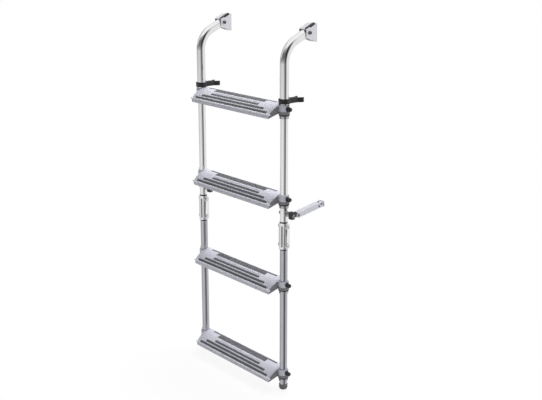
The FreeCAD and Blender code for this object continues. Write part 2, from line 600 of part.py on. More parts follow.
def rail_cap(side):
    """Rubber cap on the rail's lower end, with a chamfered sole."""
    x = RAIL_X[side]
    tag = "rail_cap_" + side
    outer = "dim.rail_od / 2 + dim.cap_wall"
    sleeve = cylinder(tag + "_sleeve", x, RAIL_Y, RAIL_END, outer, "dim.cap_cover")
    sole = doc.addObject("Part::Cone", tag + "_sole")
    bind(sole, Radius1="%s - dim.cap_sole / 2" % outer, Radius2=outer, Height="dim.cap_sole")
    put(sole, x, RAIL_Y, "%s - dim.cap_sole" % RAIL_END)
    bore = cylinder(tag + "_bore", x, RAIL_Y, RAIL_END, SEAT_R, "dim.cap_cover + 1")
    return cut(tag, fuse(tag + "_solid", [sleeve, sole]), bore)


# Clips: black plastic, a ring on the bow arm and an open jaw for the folded lower rail
CLIP_Z = "-(dim.step_drop - dim.clip_lift)"
JAW_Y = "-dim.rail_setback + dim.hinge_pitch"


def clip(side):
    x = RAIL_X[side]
    tag = "clip_" + side
    height = "dim.clip_height"
    ring_in = "dim.arm_od / 2 + dim.clip_gap"
    jaw_in = "dim.rail_od / 2 + dim.jaw_gap"
    jaw_out = "dim.rail_od / 2 + dim.jaw_gap + dim.clip_wall"
    ring = cylinder(tag + "_ring", x, RAIL_Y, CLIP_Z, ring_in + " + dim.clip_wall", height)
    bar = box(tag + "_bar", "%s - dim.clip_web / 2" % x, RAIL_Y, CLIP_Z, "dim.clip_web",
              "dim.hinge_pitch", height)
    cup = cylinder(tag + "_cup", x, JAW_Y, CLIP_Z, jaw_out, height)
    horns = box(tag + "_horns", "%s - (%s)" % (x, jaw_out), JAW_Y, CLIP_Z, "2 * (%s)" % jaw_out,
                "dim.jaw_lip", height)
    round_end = box(tag + "_trim", "%s - dim.rail_od" % x, "%s + dim.jaw_lip" % JAW_Y,
                    "%s - 1" % CLIP_Z, "2 * dim.rail_od", "dim.rail_od", "%s + 2" % height)
    solid = cut(tag + "_solid", fuse(tag + "_all", [ring, bar, cup, horns]), round_end)
    bore = cylinder(tag + "_bore", x, RAIL_Y, "%s - 1" % CLIP_Z, ring_in, height + " + 2")
    seat = cylinder(tag + "_seat", x, JAW_Y, "%s - 1" % CLIP_Z, jaw_in, height + " + 2")
    mouth = box(tag + "_mouth", "%s - (%s)" % (x, jaw_in), JAW_Y, "%s - 1" % CLIP_Z,
                "2 * (%s)" % jaw_in, "dim.rail_od", height + " + 2")
    return node(cut(tag, solid, fuse(tag + "_tools", [bore, seat, mouth])), tag)


# Standoffs: a black block on the rail's right-hand side carries a channel arm on a pin
def standoff_x(side):
    return "%s + dim.standoff_offset" % RAIL_X[side]


STANDOFF_Y = "%s + dim.standoff_pivot" % RAIL_Y
STANDOFF_PIN_R = "dim.standoff_pin_dia / 2"
STANDOFF_HALF = "dim.standoff_height / 2"
BLOCK_OUT = ("dim.standoff_offset + dim.standoff_width / 2 - dim.standoff_wall"
             " - dim.tongue_gap")
ARM_HALF = "dim.standoff_width / 2"


def tilted_box(name, side, half_width, along, above, length, height):
    """A box in the standoff arm's own directions, measured from its pivot."""
    thing = doc.addObject("Part::Box", name)
    thing.Placement = FreeCAD.Placement(FreeCAD.Vector(), FreeCAD.Rotation(AXIS_X, 10))
    tilt = "dim.standoff_tilt_" + side
    thing.setExpression("Placement.Rotation.Angle", tilt)
    bind(thing, Length="2 * (%s)" % half_width, Width=length, Height=height)
    y = "%s + (%s) * cos(%s) - (%s) * sin(%s)" % (STANDOFF_Y, along, tilt, above, tilt)
    z = "%s + (%s) * sin(%s) + (%s) * cos(%s)" % (STANDOFF_Z, along, tilt, above, tilt)
    return put(thing, "%s - (%s)" % (standoff_x(side), half_width), y, z)


def standoff_block(side):
    x = RAIL_X[side]
    tag = "standoff_block_" + side
    inner_half = "dim.standoff_width / 2 - dim.standoff_wall - dim.tongue_gap"
    outer = BLOCK_OUT
    tip = "dim.standoff_height / 2 - dim.standoff_wall - dim.tongue_gap"
    body = box(tag + "_body", x, "%s - dim.block_front" % RAIL_Y,
               "%s - dim.block_height / 2" % STANDOFF_Z, outer,
               "dim.block_front + dim.block_back", "dim.block_height")
    tongue = box(tag + "_tongue", "%s - (%s)" % (standoff_x(side), inner_half), RAIL_Y,
                 "%s - (%s)" % (STANDOFF_Z, tip), "2 * (%s)" % inner_half, "dim.standoff_pivot",
                 "2 * (%s)" % tip)
    end = across(tag + "_end", standoff_x(side), 1, "-(%s)" % inner_half, inner_half, STANDOFF_Y,
                 STANDOFF_Z, tip)
    seat = cylinder(tag + "_seat", x, RAIL_Y, "%s - dim.block_height" % STANDOFF_Z, SEAT_R,
                    "2 * dim.block_height")
    bore = across(tag + "_bore", standoff_x(side), 1, "-dim.standoff_width", "dim.standoff_width",
                  STANDOFF_Y, STANDOFF_Z, STANDOFF_PIN_R + " + dim.bolt_gap")
    drill = across(tag + "_drill", x, 1, "0", outer + " + 1", RAIL_Y, STANDOFF_Z,
                   "dim.step_bolt_dia / 2 + dim.bolt_gap")
    tools = fuse(tag + "_tools", [seat, bore, drill])
    return node(cut(tag, fuse(tag + "_solid", [body, tongue, end]), tools), tag)


def standoff_bolt(side):
    """Bolt that clamps the black block to the side of the rail."""
    tag = "standoff_bolt_" + side
    x = RAIL_X[side]
    radius = "dim.step_bolt_dia / 2"
    outer = BLOCK_OUT
    shank = across(tag + "_shank", x, 1, "-(dim.rail_od / 2 + dim.tube_gap)", outer + " + 1",
                   RAIL_Y, STANDOFF_Z, radius)
    head = across(tag + "_head", x, 1, outer, "%s + dim.head_height / 2" % outer, RAIL_Y,
                  STANDOFF_Z, radius + " + dim.head_margin")
    washer = across(tag + "_washer", x, -1, "dim.rail_od / 2 + dim.tube_gap",
                    "dim.rail_od / 2 + dim.tube_gap + dim.head_height", RAIL_Y, STANDOFF_Z,
                    radius + " + dim.head_margin")
    return fuse(tag, [shank, head, washer])


def standoff_arm(side):
    """Channel open below, with a round end on its pivot and a web that starts over the pin."""
    tag = "standoff_arm_" + side
    x = standoff_x(side)
    inner = "%s - dim.standoff_wall" % ARM_HALF
    height = "dim.standoff_height"
    length = "dim.standoff_reach - dim.pad_depth"
    bar = tilted_box(tag + "_bar", side, ARM_HALF, "0", "-" + STANDOFF_HALF, length, height)
    end = across(tag + "_end", x, 1, "-%s" % ARM_HALF, ARM_HALF, STANDOFF_Y, STANDOFF_Z,
                 STANDOFF_HALF)
    slot = tilted_box(tag + "_slot", side, inner, "-" + height, "-" + height,
                      length + " + 2 * " + height, "%s + %s - dim.standoff_wall"
                      % (height, STANDOFF_HALF))
    relief = tilted_box(tag + "_relief", side, inner, "-" + height, "-1", height, height)
    bore = across(tag + "_bore", x, 1, "-dim.standoff_width", "dim.standoff_width", STANDOFF_Y,
                  STANDOFF_Z, STANDOFF_PIN_R + " + dim.bolt_gap")
    tools = fuse(tag + "_tools", [slot, relief, bore])
    return node(cut(tag, fuse(tag + "_solid", [bar, end]), tools), tag)


def standoff_pin(side):
    tag = "standoff_pin_" + side
    x = standoff_x(side)
    end = "%s + dim.head_height / 2" % ARM_HALF
    shank = across(tag + "_shank", x, 1, "-(%s)" % end, end, STANDOFF_Y, STANDOFF_Z, STANDOFF_PIN_R)
    heads = [across("%s_head_%d" % (tag, count), x, sign, ARM_HALF, end, STANDOFF_Y, STANDOFF_Z,
                    STANDOFF_PIN_R + " + dim.head_margin / 2")
             for count, sign in enumerate((-1, 1), start=1)]
    return node(fuse(tag, [shank] + heads), tag)


def standoff_pad(side):
    """Rubber pad that rests on the hull, plugged into the arm's end."""
    tag = "standoff_pad_" + side
    start = "dim.standoff_reach - dim.pad_depth"
    half_z = "%s + dim.pad_margin" % STANDOFF_HALF
    face = tilted_box(tag + "_face", side, "%s + dim.pad_margin" % ARM_HALF, start,
                      "-(%s)" % half_z, "dim.pad_depth", "2 * (%s)" % half_z)
    plug = tilted_box(tag + "_plug", side, "%s - dim.standoff_wall - dim.tube_gap" % ARM_HALF,
                      "%s - dim.pad_plug" % start, "-" + STANDOFF_HALF, "dim.pad_plug + 1",
                      "dim.standoff_height - dim.standoff_wall - dim.tube_gap")
    return node(fuse(tag, [face, plug]), tag)


# The whole ladder, from the hull outwards
for side in ("left", "right"):
    bracket(side)
    bracket_cover(side)
    bow_arm(side)
    clip(side)
node(group("bracket_bolts", [bracket_bolt(side) for side in ("left", "right")]), "bracket_bolts")

STEP_NAMES = {1: "step_one", 2: "step_two", 3: "step_three", 4: "step_four"}
for number, label in STEP_NAMES.items():
    step(number, label)

SECTIONS = {
    "upper": ((1, 2), "%s + dim.knuckle_top" % UPPER_PIVOT, RAIL_TOP, UPPER_PIVOT, True),
    "lower": ((3, 4), RAIL_END, "%s - dim.knuckle_top" % LOWER_PIVOT, LOWER_PIVOT, False),
}
for section, (numbers, foot, top, pivot, up) in SECTIONS.items():
    pairs = [(number, side) for number in numbers for side in ("left", "right")]
    drills = [(step_bolt_z(number), "dim.step_bolt_dia") for number in numbers]
    if section == "upper":
        drills.append((STANDOFF_Z, "dim.step_bolt_dia"))
    for side in ("left", "right"):
        rail(side, section, foot, top, drills)
    node(group("grip_strips_" + section, [grip_strip(number) for number in numbers]),
         "grip_strips_" + section)
    node(group("seal_rings_" + section, [seal_ring(*pair) for pair in pairs]),
         "seal_rings_" + section)
    node(group("collars_" + section, [collar(*pair) for pair in pairs]), "collars_" + section)
    node(group("step_bolts_" + section, [step_bolt(*pair) for pair in pairs]),
         "step_bolts_" + section)
    node(group("knuckles_" + section, [knuckle(side, section, pivot, up)
                                       for side in ("left", "right")]), "knuckles_" + section)

for side in ("left", "right"):
    hinge_link(side)
node(group("hinge_pins", [hinge_pin(side, word, z) for side in ("left", "right")
                          for word, z in (("upper", UPPER_PIVOT), ("lower", LOWER_PIVOT))]),
     "hinge_pins")
node(group("rail_caps", [rail_cap(side) for side in ("left", "right")]), "rail_caps")

for side in ("left", "right"):
    standoff_block(side)
    standoff_arm(side)
    standoff_pin(side)
    standoff_pad(side)
node(group("standoff_bolts", [standoff_bolt(side) for side in ("left", "right")]),
     "standoff_bolts")

# Recompute, check every object, then write one file for each node
doc.recompute()
for thing in doc.Objects:
    bad = [state for state in thing.State if state in ("Invalid", "Error")]
    if bad:
        raise RuntimeError("%s is %s" % (thing.Label, bad))
for thing in nodes:
    shape = thing.Shape
    if shape.isNull() or not shape.isValid() or not shape.Solids:
        raise RuntimeError("%s has no valid solid" % thing.Label)

os.makedirs("parts", exist_ok=True)
for thing in nodes:
    thing.Shape.exportStep(os.path.join("parts", thing.Label + ".step"))
print("%d nodes written" % len(nodes))
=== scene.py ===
import bpy
import json
import math
from mathutils import Matrix, Vector


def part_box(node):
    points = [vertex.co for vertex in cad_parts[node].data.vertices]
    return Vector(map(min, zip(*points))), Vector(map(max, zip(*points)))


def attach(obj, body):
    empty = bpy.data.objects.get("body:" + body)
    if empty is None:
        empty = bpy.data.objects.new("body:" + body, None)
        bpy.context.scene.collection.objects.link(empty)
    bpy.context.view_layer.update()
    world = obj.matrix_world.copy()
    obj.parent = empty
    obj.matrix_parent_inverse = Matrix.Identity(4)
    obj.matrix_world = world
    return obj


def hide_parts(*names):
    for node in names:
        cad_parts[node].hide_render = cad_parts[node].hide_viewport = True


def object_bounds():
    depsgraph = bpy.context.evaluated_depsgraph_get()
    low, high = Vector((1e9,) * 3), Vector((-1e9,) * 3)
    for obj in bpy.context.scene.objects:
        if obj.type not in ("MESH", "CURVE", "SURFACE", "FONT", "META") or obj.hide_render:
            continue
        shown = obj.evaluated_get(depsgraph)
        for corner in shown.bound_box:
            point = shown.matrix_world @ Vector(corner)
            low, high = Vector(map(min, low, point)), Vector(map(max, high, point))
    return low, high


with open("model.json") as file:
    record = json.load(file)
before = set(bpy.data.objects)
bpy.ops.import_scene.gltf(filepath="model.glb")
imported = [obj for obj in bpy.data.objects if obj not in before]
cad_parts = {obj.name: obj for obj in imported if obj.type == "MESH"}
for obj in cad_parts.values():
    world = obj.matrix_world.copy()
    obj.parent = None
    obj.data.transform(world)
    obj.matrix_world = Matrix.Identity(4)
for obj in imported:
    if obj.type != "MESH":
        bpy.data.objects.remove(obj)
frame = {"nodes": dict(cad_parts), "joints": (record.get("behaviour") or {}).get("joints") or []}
cad_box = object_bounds()
nodes = frame["nodes"]
bpy.ops.object.select_all(action="DESELECT")


# Camera and studio
# The view of the photograph: from the front right and a little above, with a 66 mm lens.
# A pale floor fades to white, and large soft lamps stand round the ladder.
SENSOR_WIDTH = 36.0
PICTURE_WIDTH = 542.0
FOCAL_PIXELS = 1000.0
look_at = Vector((0.254, -0.045, -0.497))
azimuth, elevation, distance = math.radians(50.1), math.radians(15.6), 2.939
camera_data = bpy.data.cameras.new("camera")
camera_data.sensor_width = SENSOR_WIDTH
camera_data.lens = SENSOR_WIDTH * FOCAL_PIXELS / PICTURE_WIDTH
camera = bpy.data.objects.new("camera", camera_data)
bpy.context.collection.objects.link(camera)
camera_side = Vector((math.sin(azimuth) * math.cos(elevation),
                      -math.cos(azimuth) * math.cos(elevation), math.sin(elevation)))
camera.location = look_at + distance * camera_side
camera.rotation_euler = (-camera_side).to_track_quat("-Z", "Y").to_euler()
bpy.context.scene.camera = camera
bpy.context.scene.view_settings.view_transform = "Standard"


def soft_lamp(name, place, size, power, mirrored=True):
    """A large lamp that faces the ladder's middle; shiny metal shows it only if mirrored."""
    lamp = bpy.data.lights.new(name, "AREA")
    lamp.shape = "RECTANGLE"
    lamp.size, lamp.size_y = size
    lamp.energy = power
    holder = bpy.data.objects.new(name, lamp)
    bpy.context.collection.objects.link(holder)
    holder.location = place
    holder.visible_glossy = mirrored
    aim = look_at - Vector(place)
    holder.rotation_euler = aim.to_track_quat("-Z", "Y").to_euler()


# The glare of the top and right-hand lamps would turn flat metal plain white
soft_lamp("lamp_top", place=(0.1, 1.1, 2.2), size=(2.4, 2.4), power=128, mirrored=False)
soft_lamp("lamp_left", place=(-1.8, -1.8, 1.2), size=(1.4, 2.0), power=6)
soft_lamp("lamp_right", place=(2.6, -0.7, 0.6), size=(0.9, 2.2), power=6, mirrored=False)


def feed(node, values):
    """Sets a node's inputs to plain values, or links them to other nodes' outputs."""
    for socket, value in values.items():
        if isinstance(value, bpy.types.NodeSocket):
            node.id_data.links.new(value, node.inputs[socket])
        else:
            node.inputs[socket].default_value = value


def add(tree, kind, values=None, **settings):
    """A new node with its settings and the values of its inputs."""
    node = tree.nodes.new(kind)
    for name, setting in settings.items():
        setattr(node, name, setting)
    feed(node, values or {})
    return node


def grey(level, alpha=1.0):
    return level, level, level, alpha


def soft_ramp(tree, value, stops, ends):
    """Colours that pass softly from stop to stop as the value goes from 0 to 1."""
    ramp = add(tree, "ShaderNodeValToRGB", {0: value})
    ramp.color_ramp.interpolation = "EASE"
    for place, colour in stops:
        ramp.color_ramp.elements.new(place).color = colour
    for end in (0, -1):
        ramp.color_ramp.elements[end].color = ends
    return ramp


world = bpy.data.worlds.new("studio")
bpy.context.scene.world = world
world.use_nodes = True
air = world.node_tree
air.nodes.clear()
rays = add(air, "ShaderNodeLightPath")
direction = add(air, "ShaderNodeTexCoord")
split = add(air, "ShaderNodeSeparateXYZ", {0: direction.outputs["Generated"]})
bearing = add(air, "ShaderNodeMath", {0: split.outputs["X"], 1: split.outputs["Y"]},
              operation="ARCTAN2")
share = add(air, "ShaderNodeMapRange",
            {"Value": bearing.outputs[0], "From Min": -math.pi, "From Max": math.pi})
# White walls with two dark flags, which polished metal mirrors as streaks. A stop is a place
# round the studio, its level, and how much of the dimming higher up it takes.
wall_stops = ((0.06, 0.84, 1.0), (0.15, 0.64, 1.0), (0.22, 0.76, 0.6), (0.32, 0.82, 0.0),
              (0.38, 0.58, 0.0), (0.44, 0.80, 0.0), (0.51, 0.88, 0.0), (0.58, 0.86, 0.0),
              (0.66, 0.92, 0.0), (0.71, 0.62, 0.0), (0.755, 0.14, 1.0), (0.81, 0.18, 1.0),
              (0.87, 0.55, 1.0), (0.93, 0.86, 1.0))
walls = soft_ramp(air, share.outputs[0],
                  [(place, grey(level, dimming)) for place, level, dimming in wall_stops],
                  grey(0.90))
# Higher up, the walls in front are dimmer, and the ceiling is white again
height = add(air, "ShaderNodeMapRange", {"Value": split.outputs["Z"], "From Min": -1.0})
height_stops = ((0.38, 1.0), (0.52, 0.40), (0.60, 0.20), (0.72, 0.20), (0.80, 0.42), (0.92, 1.0))
levels = soft_ramp(air, height.outputs[0],
                   [(place, grey(level)) for place, level in height_stops], grey(1.0))
dimmed = add(air, "ShaderNodeMix",
             {0: walls.outputs["Alpha"], 6: walls.outputs["Color"], 7: levels.outputs["Color"]},
             data_type="RGBA", blend_type="MULTIPLY")
ceiling = add(air, "ShaderNodeMapRange",
              {"Value": split.outputs["Z"], "From Min": 0.64, "From Max": 0.84},
              interpolation_type="SMOOTHSTEP")
roofed = add(air, "ShaderNodeMix",
             {0: ceiling.outputs[0], 6: dimmed.outputs[2], 7: grey(1.0)}, data_type="RGBA")
# Metal and glass see these walls, the camera sees plain white, and the rest gets a soft glow
glow = add(air, "ShaderNodeBackground", {"Color": (0.80, 0.81, 0.84, 1.0), "Strength": 0.35})
mirror_glow = add(air, "ShaderNodeBackground", {"Color": roofed.outputs[2]})
white = add(air, "ShaderNodeBackground", {"Color": grey(1.0)})
by_shine = add(air, "ShaderNodeMath",
               {0: rays.outputs["Is Glossy Ray"], 1: rays.outputs["Is Transmission Ray"]},
               operation="MAXIMUM")
glossy_mix = add(air, "ShaderNodeMixShader",
                 {0: by_shine.outputs[0], 1: glow.outputs[0], 2: mirror_glow.outputs[0]})
camera_mix = add(air, "ShaderNodeMixShader",
                 {0: rays.outputs["Is Camera Ray"], 1: glossy_mix.outputs[0], 2: white.outputs[0]})
add(air, "ShaderNodeOutputWorld", {0: camera_mix.outputs[0]})


def new_piece(operator, **settings):
    """A primitive added at its size and place, with both written into its mesh."""
    bpy.ops.object.select_all(action="DESELECT")
    operator(**settings)
    bpy.ops.object.transform_apply(location=True, rotation=True, scale=True)
    return bpy.context.object


def new_material(name, metallic=0.0):
    """A material and its shader, on which its pattern and finish are built."""
    material = bpy.data.materials.new(name)
    material.use_nodes = True
    shader = material.node_tree.nodes["Principled BSDF"]
    shader.inputs["Metallic"].default_value = metallic
    return material, shader


FLOOR_RADIUS, FLOOR_GAP = 9.0, 0.0005
FADE_START, FADE_END = 0.25, 0.75
WHITE_AT_MIDDLE = 0.90
floor_middle = (0.18, -0.05, cad_box[0][2] - FLOOR_GAP)
floor = new_piece(bpy.ops.mesh.primitive_circle_add, vertices=96, radius=FLOOR_RADIUS,
                  fill_type="NGON", location=floor_middle)
floor.name = "floor"
floor_paint, shader = new_material("pale_floor")
feed(shader, {"Base Color": grey(0.92), "Roughness": 0.9, "Specular IOR Level": 0.0})
tree = floor_paint.node_tree
place = add(tree, "ShaderNodeTexCoord")
reach = add(tree, "ShaderNodeVectorMath", {0: place.outputs["Object"], 1: floor_middle},
            operation="DISTANCE")
fade = add(tree, "ShaderNodeMapRange",
           {"Value": reach.outputs["Value"], "From Min": FADE_START, "From Max": FADE_END,
            "To Min": WHITE_AT_MIDDLE}, interpolation_type="SMOOTHSTEP")
seen = add(tree, "ShaderNodeLightPath")
amount = add(tree, "ShaderNodeMath", {0: fade.outputs[0], 1: seen.outputs["Is Camera Ray"]},
             operation="MULTIPLY")
plain_white = add(tree, "ShaderNodeEmission", {"Color": grey(1.0)})
blend = add(tree, "ShaderNodeMixShader",
            {0: amount.outputs[0], 1: shader.outputs[0], 2: plain_white.outputs[0]})
feed(tree.nodes["Material Output"], {"Surface": blend.outputs[0]})
floor.data.materials.append(floor_paint)
floor.visible_glossy = False


# Bow arms
# Bent stainless tube, electropolished, pushed over the rail tube and bolted in its bracket.
# The polish leaves faint drawn lines along the tube.
NOISE_LOW, NOISE_HIGH = 0.3, 0.7


def noise_of(shader, scale, detail, squeeze=(1.0, 1.0, 1.0)):
    """A noise pattern fixed to the piece, finer along an axis the more it is squeezed."""
    tree = shader.id_data
    place = add(tree, "ShaderNodeTexCoord")
    spread = add(tree, "ShaderNodeMapping", {"Vector": place.outputs["Object"], "Scale": squeeze})
    pattern = add(tree, "ShaderNodeTexNoise",
                  {"Vector": spread.outputs["Vector"], "Scale": scale, "Detail": detail})
    return pattern.outputs["Fac"]


def tint(shader, pattern, low, high):
    """Base colour between low and high over the pattern."""
    ramp = add(shader.id_data, "ShaderNodeValToRGB", {0: pattern})
    first, last = ramp.color_ramp.elements
    first.position = NOISE_LOW
    last.position = NOISE_HIGH
    first.color = (*low, 1.0)
    last.color = (*high, 1.0)
    feed(shader, {"Base Color": ramp.outputs["Color"]})


def dull(shader, pattern, low, high):
    """Roughness between low and high over the pattern."""
    level = add(shader.id_data, "ShaderNodeMapRange",
                {"Value": pattern, "From Min": NOISE_LOW, "From Max": NOISE_HIGH,
                 "To Min": low, "To Max": high})
    feed(shader, {"Roughness": level.outputs[0]})


def relief(shader, pattern, depth, strength=0.3):
    """Fine relief, with its depth in metres."""
    bump = add(shader.id_data, "ShaderNodeBump",
               {"Height": pattern, "Strength": strength, "Distance": depth})
    feed(shader, {"Normal": bump.outputs["Normal"]})


def finish_nodes(material, *names):
    """Gives CAD solids that stay in the scene their material."""
    for name in names:
        for holder in nodes[name].material_slots:
            holder.material = material


def sides(name):
    return [name + "_left", name + "_right"]


polished, shader = new_material("polished_steel", 1.0)
lines = noise_of(shader, scale=60.0, detail=4.0, squeeze=(6.0, 6.0, 0.4))
tint(shader, lines, (0.80, 0.80, 0.81), (0.92, 0.92, 0.92))
dull(shader, lines, 0.08, 0.14)
relief(shader, lines, 0.00002)
finish_nodes(polished, *sides("bow_arm"))


# Rails
# Straight stainless tube in four lengths, drilled for the step bolts and the standoff bolts.
# The mill's polish runs lengthwise. The lower rails are painted a darker grey, as painted shade for
# the dimmer reflections they show.
drawn = {}
for half, low, high in (("upper", (0.82, 0.82, 0.83), (0.94, 0.94, 0.94)),
                        ("lower", (0.42, 0.42, 0.46), (0.56, 0.56, 0.60))):
    drawn[half], shader = new_material("drawn_steel_" + half, 1.0)
    lines = noise_of(shader, scale=90.0, detail=5.0, squeeze=(8.0, 8.0, 0.25))
    tint(shader, lines, low, high)
    dull(shader, lines, 0.10, 0.20)
    relief(shader, lines, 0.00003)
    finish_nodes(drawn[half], *sides("rail_" + half))


# Brackets
# Stainless sheet 2 to 3 mm thick, folded over the arm's end and drilled for two hull bolts.
# Satin finished, with folds rounded by the press.
sheet_steel, shader = new_material("satin_sheet", 0.85)
grain = noise_of(shader, scale=160.0, detail=4.0, squeeze=(1.0, 1.0, 5.0))
tint(shader, grain, (0.74, 0.74, 0.79), (0.86, 0.86, 0.91))
dull(shader, grain, 0.30, 0.44)
relief(shader, grain, 0.00003)


def take(piece):
    """Selects a piece alone and makes it the active one."""
    bpy.ops.object.select_all(action="DESELECT")
    bpy.context.view_layer.objects.active = piece
    piece.select_set(True)


def open_mesh(piece):
    """Goes into edit mode with the whole mesh of a piece selected."""
    take(piece)
    bpy.ops.object.mode_set(mode="EDIT")
    bpy.ops.mesh.select_all(action="SELECT")


def close_mesh():
    bpy.ops.object.mode_set(mode="OBJECT")


def copy_of_node(node_name, name):
    """A copy of a CAD solid with its triangles merged and its flat faces whole again."""
    piece = bpy.data.objects.new(name, nodes[node_name].data.copy())
    bpy.context.collection.objects.link(piece)
    take(piece)
    bpy.ops.mesh.customdata_custom_splitnormals_clear()
    open_mesh(piece)
    bpy.ops.mesh.remove_doubles(threshold=0.000002)
    bpy.ops.mesh.dissolve_limited(angle_limit=math.radians(0.5))
    close_mesh()
    return piece


def apply_modifier(piece, kind, **settings):
    """Adds a modifier to a piece and applies it at once."""
    take(piece)
    modifier = piece.modifiers.new("finish", kind)
    for name, setting in settings.items():
        setattr(modifier, name, setting)
    bpy.ops.object.modifier_apply(modifier="finish")
    return piece


def smooth(piece, sharp):
    """Smooth shading, but not over edges sharper than this many degrees."""
    take(piece)
    bpy.ops.object.shade_smooth_by_angle(angle=math.radians(sharp))
    return piece


def round_edges(piece, width, segments=2, sharp=30.0):
    """Rounds every edge sharper than the angle and smooths the shading."""
    apply_modifier(piece, "BEVEL", width=width, segments=segments, limit_method="ANGLE",
                   angle_limit=math.radians(sharp), use_clamp_overlap=False)
    smooth(piece, 40.0)
    return apply_modifier(piece, "WEIGHTED_NORMAL", keep_sharp=True)


def fit(piece, material, body, slot, *stands_for):
    """Gives a finished piece its material and its body, and hides the CAD nodes that it stands for.
    """
    piece.data.materials.clear()
    piece.data.materials.append(material)
    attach(piece, body)
    if stands_for:
        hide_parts(*stands_for)


for name in sides("bracket"):
    folded = round_edges(copy_of_node(name, "folded_" + name), 0.0008, 3)
    fit(folded, sheet_steel, "upper_ladder", "steel", name)


# Bracket shade strips
# Black strip along the right-hand edge of each bracket's slope, 8 mm wide, with a lip over the
# cheek's upper half, both painted shade for the gap beside the tube. The black is the glass-filled
# nylon with a fine skin of all the real black mouldings.
SLOPE = Matrix.Rotation(math.radians(25.0), 4, "X")
SHADE_LIP_WIDTH, SHADE_LIP_DEPTH, SHADE_LIP_REACH = 0.0014, 0.005, 0.6
black, shader = new_material("black_nylon_and_painted_shade")
speckle = noise_of(shader, scale=600.0, detail=4.0)
tint(shader, speckle, (0.010, 0.010, 0.012), (0.028, 0.028, 0.032))
dull(shader, speckle, 0.38, 0.55)
relief(shader, speckle, 0.0001, 0.4)
for name in sides("bracket_cover"):
    strip = round_edges(copy_of_node(name, "shade_strip_" + name), 0.0007, 3)
    fit(strip, black, "upper_ladder", "black_plastic", name)
    # The lip is a copy of the strip, laid level, made narrow, deep and short, and tilted back
    shade_lip = copy_of_node(name, "shade_lip_" + name)
    shade_lip.data.transform(SLOPE.inverted())
    corner = Vector([max(vertex.co[axis] for vertex in shade_lip.data.vertices) for axis in range(3)])
    foot = Vector([min(vertex.co[axis] for vertex in shade_lip.data.vertices) for axis in range(3)])
    stretch = Matrix.Diagonal((SHADE_LIP_WIDTH / (corner.x - foot.x), SHADE_LIP_REACH,
                               SHADE_LIP_DEPTH / (corner.z - foot.z), 1.0))
    shade_lip.data.transform(SLOPE @ Matrix.Translation(corner + Vector((SHADE_LIP_WIDTH, 0.0, 0.0)))
                       @ stretch @ Matrix.Translation(-corner))
    fit(round_edges(shade_lip, 0.0005), black, "upper_ladder", "black_plastic")


# Bracket bolts
# Button-head bolt through each bracket and arm, its head to the right and a low nut at the left.
# The heads are darker than the bright nuts.
fastener, shader = new_material("turned_steel", 1.0)
marks = noise_of(shader, scale=240.0, detail=3.0)
tint(shader, marks, (0.16, 0.16, 0.18), (0.30, 0.30, 0.32))
dull(shader, marks, 0.28, 0.45)
relief(shader, marks, 0.00004)
hinge_place = {joint["name"]: joint["pos_m"] for joint in frame["joints"]}
RAIL_PITCH = 2 * hinge_place["lower_hinge"][0]
RAIL_Y = hinge_place["lower_hinge"][1]
HEAD_TALL = 0.0034
HEAD_WASHER, NUT_WASHER, NUT_COLLAR = 0.0008, 0.0010, 0.0012
WASHER_RIM, COLLAR_SHARE = 0.0012, 0.78


def box_of(node_name):
    """The two corners of a CAD node's box, to the micrometre."""
    return [[round(value, 6) for value in corner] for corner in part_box(node_name)]


def rod(start, end, radius, vertices=32):
    """A rod along X about the origin, finished as an object of its own."""
    return new_piece(bpy.ops.mesh.primitive_cylinder_add, vertices=vertices, radius=radius,
                     depth=end - start, location=((start + end) / 2, 0.0, 0.0),
                     rotation=(0.0, math.pi / 2, 0.0))


def deselected(piece):
    """The mesh of a piece with nothing in it selected."""
    take(piece)
    mesh = piece.data
    for part in (mesh.vertices, mesh.edges, mesh.polygons):
        part.foreach_set("select", [False] * len(part))
    return mesh


def pick_edges(piece, test):
    """Goes into edit mode with only the edges selected whose two ends pass the test."""
    mesh = deselected(piece)
    for edge in mesh.edges:
        edge.select = test(*(mesh.vertices[end].co for end in edge.vertices))
    bpy.context.tool_settings.mesh_select_mode = (False, True, False)
    bpy.ops.object.mode_set(mode="EDIT")


def bevel(offset, segments):
    """Rounds the picked edges and leaves edit mode."""
    bpy.ops.mesh.bevel(offset=offset, segments=segments)
    close_mesh()


def cut(piece, tool, operation="DIFFERENCE"):
    """Takes a tool's shape out of a piece, or keeps what the two share, and clears the tool away."""
    apply_modifier(piece, "BOOLEAN", operation=operation, solver="EXACT", object=tool)
    bpy.data.objects.remove(tool)


def join(name, pieces):
    """Makes one piece of several and names it."""
    take(pieces[0])
    for piece in pieces[1:]:
        piece.select_set(True)
    if len(pieces) > 1:
        bpy.ops.object.join()
    pieces[0].name = name
    return pieces[0]


def button_head(seat, radius, height, socket):
    """A domed bolt head that stands on seat and points along +X, with a hexagon socket."""
    head = rod(seat, seat + height, radius)
    pick_edges(head, lambda a, b: min(a.x, b.x) > seat + height / 2)
    bevel(0.6 * height, 5)
    cut(head, rod(seat + 0.4 * height, seat + 2 * height, socket, 6))
    return smooth(head, 35.0)


def lock_nut(seat, radius, height, thread, past):
    """A washer, a chamfered nut with its nylon collar, and the bolt's end, towards -X."""
    top = seat + height
    washer = round_edges(rod(-seat - NUT_WASHER, -seat, radius + WASHER_RIM), 0.0002)
    nut = round_edges(rod(-top + NUT_COLLAR, -seat - NUT_WASHER, radius, 6), 0.0004)
    collar = round_edges(rod(-top, -top + NUT_COLLAR, COLLAR_SHARE * radius), 0.0004)
    end = round_edges(rod(-top - past, seat, thread), 0.0005)
    return [washer, nut, collar, end]


